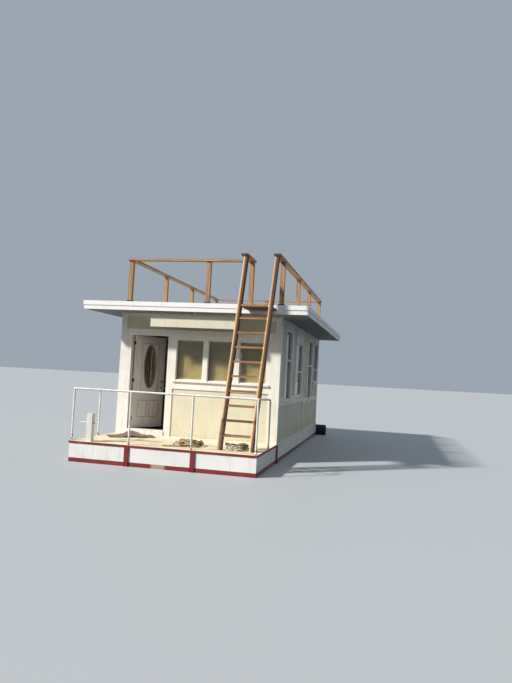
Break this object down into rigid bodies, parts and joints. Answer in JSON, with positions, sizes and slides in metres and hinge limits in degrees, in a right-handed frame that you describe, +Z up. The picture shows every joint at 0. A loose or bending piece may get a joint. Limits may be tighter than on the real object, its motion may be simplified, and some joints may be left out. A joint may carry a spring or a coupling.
{
  "type": "houseboat",
  "caption": "Small houseboat: flat-bottomed barge hull, hollow one-room cabin with windows and a hinged door, flat roof with a timber railing and a ladder, tube railing round the front deck.",
  "frame": {"origin": "under the middle of the boat, at the hull's flat bottom", "axes": "+Y from the front deck (bow) to the stern, +X to the right as seen from in front of the bow, +Z up"},
  "size_m": [4.904, 9.2962, 4.465],
  "materials": {
    "hull_paint": "white gloss paint, weathered, over a red boot stripe",
    "deck_paint": "tan painted boards, worn",
    "red_paint": "dark red paint, faded",
    "cream_panel": "cream painted panels",
    "white_trim": "off-white painted boards",
    "roof_board": "painted boards",
    "timber": "oiled orange-brown timber",
    "railing_paint": "white painted steel tube",
    "post_paint": "white painted timber",
    "pin_steel": "white painted steel rod",
    "handle_steel": "satin steel",
    "door_paint": "off-white painted door",
    "glass": "clear window glass over a dark room",
    "fender_rubber": "black rubber",
    "rope": "tan laid rope",
    "mat": "brown woven mat"
  },
  "bodies": {
    "boat": {"batten_bow_left": "red_paint", "batten_bow_right": "red_paint", "batten_side_left": "red_paint", "batten_side_right": "red_paint", "batten_stern_left": "red_paint", "batten_stern_right": "red_paint", "deck": "deck_paint", "deck_railing": "railing_paint", "door_frame": "white_trim", "door_mat": "mat", "fascia_lower": "white_trim", "fascia_upper": "white_trim", "glass_front_1": "glass", "glass_front_2": "glass", "glass_front_3": "glass", "glass_left_1": "glass", "glass_left_2": "glass", "glass_left_3": "glass", "glass_left_4": "glass", "glass_rear_1": "glass", "glass_rear_2": "glass", "glass_right_1": "glass", "glass_right_2": "glass", "glass_right_3": "glass", "glass_right_4": "glass", "gunwale_band": "red_paint", "hull": "hull_paint", "ladder": "timber", "ladder_hand_rail": "timber", "landing": "timber", "mooring_pin": "pin_steel", "mooring_post": "post_paint", "roof": "roof_board", "roof_rail_front": "timber", "roof_rail_left": "timber", "roof_rail_rear": "timber", "roof_rail_right": "timber", "rope_coil_left": "rope", "rope_coil_right": "rope", "sign_board": "white_trim", "stern_fender": "fender_rubber", "threshold": "white_trim", "trim_front": "white_trim", "trim_left": "white_trim", "trim_rear": "white_trim", "trim_right": "white_trim", "wall_front": "cream_panel", "wall_left": "cream_panel", "wall_rear": "cream_panel", "wall_right": "cream_panel"},
    "cabin_door": {"door_slab": "door_paint", "door_glass": "glass", "door_handle_outer": "handle_steel", "door_handle_inner": "handle_steel"}
  },
  "joints": [
    {"name": "cabin_door_hinge", "type": "hinge", "parent": "boat", "child": "cabin_door", "pos_m": [-1.556, -2.52715, 1.8], "axis": [0, 0, 1], "range_deg": [-60, 30]}
  ]
}
